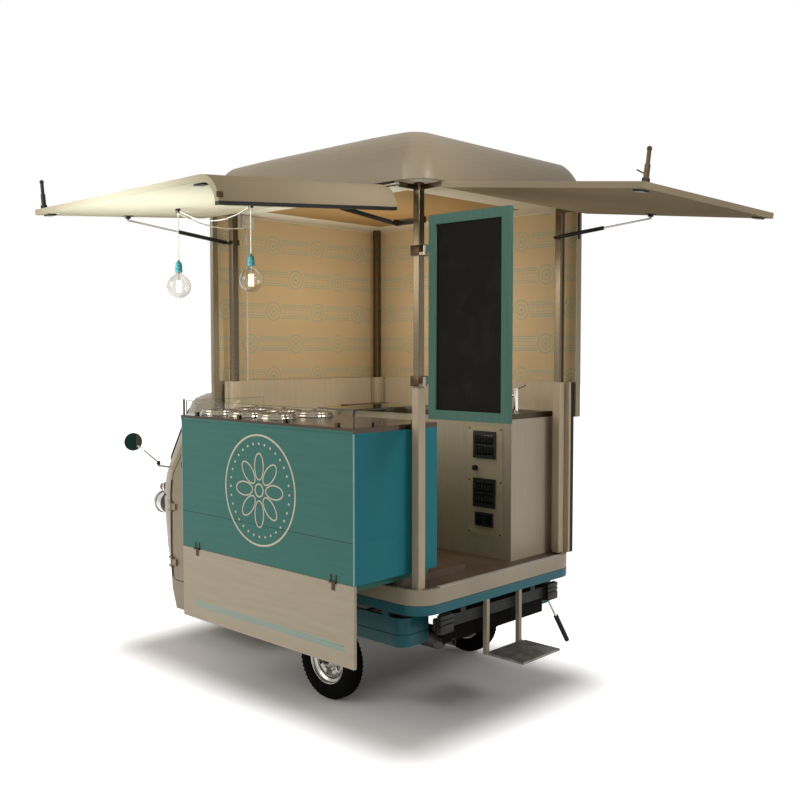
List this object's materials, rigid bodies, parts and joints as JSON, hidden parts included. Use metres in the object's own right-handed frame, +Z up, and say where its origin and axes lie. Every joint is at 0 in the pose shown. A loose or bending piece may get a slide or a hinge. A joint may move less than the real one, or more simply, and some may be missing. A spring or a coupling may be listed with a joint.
{
  "type": "three-wheeler food truck",
  "caption": "Three-wheeled vending truck: small driver's cab, open kiosk body with swing-up awnings on gas struts, pull-out counter with lidded tubs, chalkboard and pendant lamps.",
  "frame": {"origin": "on the ground at the middle of the front tyre's contact patch, under the front axle", "axes": "+X forward, +Y to the vehicle's left (the serving side), +Z up"},
  "size_m": [3.8586, 2.5322, 2.955],
  "materials": {
    "body_sand": "satin cream coachwork paint",
    "body_teal": "satin teal coachwork paint",
    "board_teal": "teal paint on boarded panels",
    "board_sand": "cream paint on boarded panels",
    "rim_paint": "cream band over a teal band",
    "roof_paint": "satin cream moulding",
    "lining_print": "printed lining paper on board, matt",
    "chassis_paint": "black chassis paint",
    "engine_cast": "cast, oily",
    "deck_board": "floor sheet, matt",
    "steel": "brushed",
    "chrome": "bright",
    "worktop": "brushed",
    "plate": "satin plate with pale switch modules",
    "tyre": "matt",
    "black_fittings": "matt black",
    "lamp_lens": "clear and coloured lenses in chromed housings",
    "clear_glass": "clear",
    "seat_cover": "brown cover, semi-matt",
    "slate": "blackboard in a teal frame",
    "mirror_glass": "mirror in a black shell",
    "bulb_glass": "warm bulb in a holder",
    "cord": "pale cord sheath",
    "jbox": "matt box with wrapped conduit"
  },
  "bodies": {
    "truck": {"chassis_frame": "chassis_paint", "deck_floor": "deck_board", "deck_rim": "rim_paint", "rear_mudguards": "body_teal", "corner_posts": "steel", "roof_shell": "roof_paint", "wall_and_ceiling_lining": "lining_print", "wall_panels": "body_sand", "lower_walls": "board_sand", "side_cabinet": "board_sand", "cabinet_top": "worktop", "control_panel": "plate", "cab_shell": "body_sand", "cab_glass": "clear_glass", "road_lamps": "lamp_lens", "cab_seat": "seat_cover", "engine": "engine_cast", "junction_box": "jbox", "supply_cord": "cord"},
    "fork": {"steering_fork": "chassis_paint"},
    "front_wheel": {"front_tyre": "tyre", "front_rim": "steel"},
    "rear_left_wheel": {"rear_left_tyre": "tyre", "rear_left_rim": "steel"},
    "rear_right_wheel": {"rear_right_tyre": "tyre", "rear_right_rim": "steel"},
    "left_door_body": {"left_door": "body_sand", "left_door_glass": "clear_glass"},
    "right_door_body": {"right_door": "body_sand", "right_door_glass": "clear_glass"},
    "left_awning_body": {"left_awning": "body_sand", "left_awning_fittings": "black_fittings", "lamp_swag": "cord"},
    "rear_awning_body": {"rear_awning": "body_sand", "rear_awning_fittings": "black_fittings"},
    "left_tubes": {"left_strut_tubes": "black_fittings"},
    "left_rods": {"left_strut_rods": "chrome"},
    "rear_tube": {"rear_strut_tube": "black_fittings"},
    "rear_rod": {"rear_strut_rod": "chrome"},
    "left_latch": {"left_awning_latch": "chrome"},
    "rear_latch": {"rear_awning_latch": "chrome"},
    "counter": {"counter_body": "board_teal", "counter_top": "worktop", "glass_guard": "clear_glass"},
    "flap": {"counter_flap": "board_sand"},
    "lid_1": {"tub_lid_1": "steel"},
    "lid_2": {"tub_lid_2": "steel"},
    "lid_3": {"tub_lid_3": "steel"},
    "lid_4": {"tub_lid_4": "steel"},
    "lid_5": {"tub_lid_5": "steel"},
    "lid_6": {"tub_lid_6": "steel"},
    "board": {"chalkboard": "slate"},
    "step": {"step_plate": "chassis_paint"},
    "brake_lever": {"hand_lever": "chrome"},
    "tap_handle": {"tap_lever": "chrome"},
    "dial": {"control_dial": "black_fittings"},
    "left_mirror_body": {"left_mirror": "mirror_glass"},
    "right_mirror_body": {"right_mirror": "mirror_glass"},
    "front_pendant": {"front_pendant_lamp": "bulb_glass"},
    "rear_pendant": {"rear_pendant_lamp": "bulb_glass"}
  },
  "joints": [
    {"name": "steering", "type": "hinge", "parent": "truck", "child": "fork", "pos_m": [0, 0, 0.7], "axis": [0, 0, 1], "range_deg": [-35, 35]},
    {"name": "front_wheel_spin", "type": "hinge", "parent": "fork", "child": "front_wheel", "pos_m": [0, 0, 0.213], "axis": [0, 1, 0], "continuous": true},
    {"name": "rear_left_wheel_spin", "type": "hinge", "parent": "truck", "child": "rear_left_wheel", "pos_m": [-1.59, 0.575, 0.213], "axis": [0, 1, 0], "continuous": true},
    {"name": "rear_right_wheel_spin", "type": "hinge", "parent": "truck", "child": "rear_right_wheel", "pos_m": [-1.59, -0.575, 0.213], "axis": [0, 1, 0], "continuous": true},
    {"name": "left_door_hinge", "type": "hinge", "parent": "truck", "child": "left_door_body", "pos_m": [-0.098, 0.609, 0.7], "axis": [0, 0, -1], "range_deg": [0, 65]},
    {"name": "right_door_hinge", "type": "hinge", "parent": "truck", "child": "right_door_body", "pos_m": [-0.098, -0.609, 0.7], "axis": [0, 0, 1], "range_deg": [0, 65]},
    {"name": "left_awning_hinge", "type": "hinge", "parent": "truck", "child": "left_awning_body", "pos_m": [-1.5, 0.7, 2.672], "axis": [-1, 0, 0], "range_deg": [0, 85.35], "deforming": ["supply_cord"]},
    {"name": "rear_awning_hinge", "type": "hinge", "parent": "truck", "child": "rear_awning_body", "pos_m": [-2.365, 0, 2.672], "axis": [0, -1, 0], "range_deg": [0, 83.2]},
    {"name": "left_strut_swing", "type": "hinge", "parent": "truck", "child": "left_tubes", "pos_m": [-1.5, 0.585, 2.515], "axis": [-1, 0, 0], "range_deg": [-1, 87]},
    {"name": "left_strut_stroke", "type": "slide", "parent": "left_tubes", "child": "left_rods", "axis": [0, 0.9943, 0.1065], "range_m": [-0.265, 0.001]},
    {"name": "rear_strut_swing", "type": "hinge", "parent": "truck", "child": "rear_tube", "pos_m": [-2.25, -0.55, 2.523], "axis": [0, -1, 0], "range_deg": [-1, 84]},
    {"name": "rear_strut_stroke", "type": "slide", "parent": "rear_tube", "child": "rear_rod", "axis": [-0.9963, 0, 0.0856], "range_m": [-0.252, 0.001]},
    {"name": "left_latch_hinge", "type": "hinge", "parent": "left_awning_body", "child": "left_latch", "pos_m": [-0.69, 1.71867, 2.61423], "axis": [-1, 0, 0], "range_deg": [0, 90]},
    {"name": "rear_latch_hinge", "type": "hinge", "parent": "rear_awning_body", "child": "rear_latch", "pos_m": [-3.43043, 0.53, 2.57013], "axis": [0, -1, 0], "range_deg": [0, 90]},
    {"name": "counter_slide", "type": "slide", "parent": "truck", "child": "counter", "axis": [0, -1, 0], "range_m": [0, 0.29]},
    {"name": "flap_hinge", "type": "hinge", "parent": "counter", "child": "flap", "pos_m": [-1.5, 0.996, 0.784], "axis": [1, 0, 0], "range_deg": [0, 175]},
    {"name": "lid_1_lift", "type": "slide", "parent": "counter", "child": "lid_1", "axis": [0, 0, 1], "range_m": [0, 0.1]},
    {"name": "lid_2_lift", "type": "slide", "parent": "counter", "child": "lid_2", "axis": [0, 0, 1], "range_m": [0, 0.1]},
    {"name": "lid_3_lift", "type": "slide", "parent": "counter", "child": "lid_3", "axis": [0, 0, 1], "range_m": [0, 0.1]},
    {"name": "lid_4_lift", "type": "slide", "parent": "counter", "child": "lid_4", "axis": [0, 0, 1], "range_m": [0, 0.1]},
    {"name": "lid_5_lift", "type": "slide", "parent": "counter", "child": "lid_5", "axis": [0, 0, 1], "range_m": [0, 0.1]},
    {"name": "lid_6_lift", "type": "slide", "parent": "counter", "child": "lid_6", "axis": [0, 0, 1], "range_m": [0, 0.1]},
    {"name": "chalkboard_hinge", "type": "hinge", "parent": "truck", "child": "board", "pos_m": [-2.312, 0.6175, 2], "axis": [0, 0, -1], "range_deg": [0, 90]},
    {"name": "step_hinge", "type": "hinge", "parent": "truck", "child": "step", "pos_m": [-2.334, 0, 0.306], "axis": [0, 1, 0], "range_deg": [0, 90]},
    {"name": "hand_lever_pivot", "type": "hinge", "parent": "truck", "child": "brake_lever", "pos_m": [-2.26, -0.487, 0.465], "axis": [1, 0, 0], "range_deg": [-30, 30]},
    {"name": "tap_lever_turn", "type": "hinge", "parent": "truck", "child": "tap_handle", "pos_m": [-2.075, -0.424, 1.66], "axis": [0, 0, 1], "range_deg": [-45, 45]},
    {"name": "control_dial_turn", "type": "hinge", "parent": "truck", "child": "dial", "pos_m": [-1.935, -0.222, 1.2125], "axis": [0, 1, 0], "range_deg": [-135, 135]},
    {"name": "left_mirror_fold", "type": "hinge", "parent": "truck", "child": "left_mirror_body", "pos_m": [0.088, 0.58, 1.14], "axis": [0, 0, 1], "range_deg": [-25, 25]},
    {"name": "right_mirror_fold", "type": "hinge", "parent": "truck", "child": "right_mirror_body", "pos_m": [0.088, -0.58, 1.14], "axis": [0, 0, 1], "range_deg": [-25, 25]},
    {"name": "front_pendant_swing", "type": "hinge", "parent": "left_awning_body", "child": "front_pendant", "pos_m": [-1.113, 1.20091, 2.60116], "axis": [-1, 0, 0], "range_deg": [-78, 1]},
    {"name": "rear_pendant_swing", "type": "hinge", "parent": "left_awning_body", "child": "rear_pendant", "pos_m": [-1.425, 0.97166, 2.6198], "axis": [-1, 0, 0], "range_deg": [-78, 1]}
  ],
  "couplings": [
    {"joint": "left_strut_swing", "follows": "left_awning_hinge", "ratio": 1.0026},
    {"joint": "left_strut_stroke", "follows": "left_awning_hinge", "m_per_rad": -0.17711},
    {"joint": "rear_strut_swing", "follows": "rear_awning_hinge", "ratio": 0.99165},
    {"joint": "rear_strut_stroke", "follows": "rear_awning_hinge", "m_per_rad": -0.17207},
    {"joint": "front_pendant_swing", "follows": "left_awning_hinge", "ratio": -0.90217},
    {"joint": "rear_pendant_swing", "follows": "left_awning_hinge", "ratio": -0.90217}
  ]
}
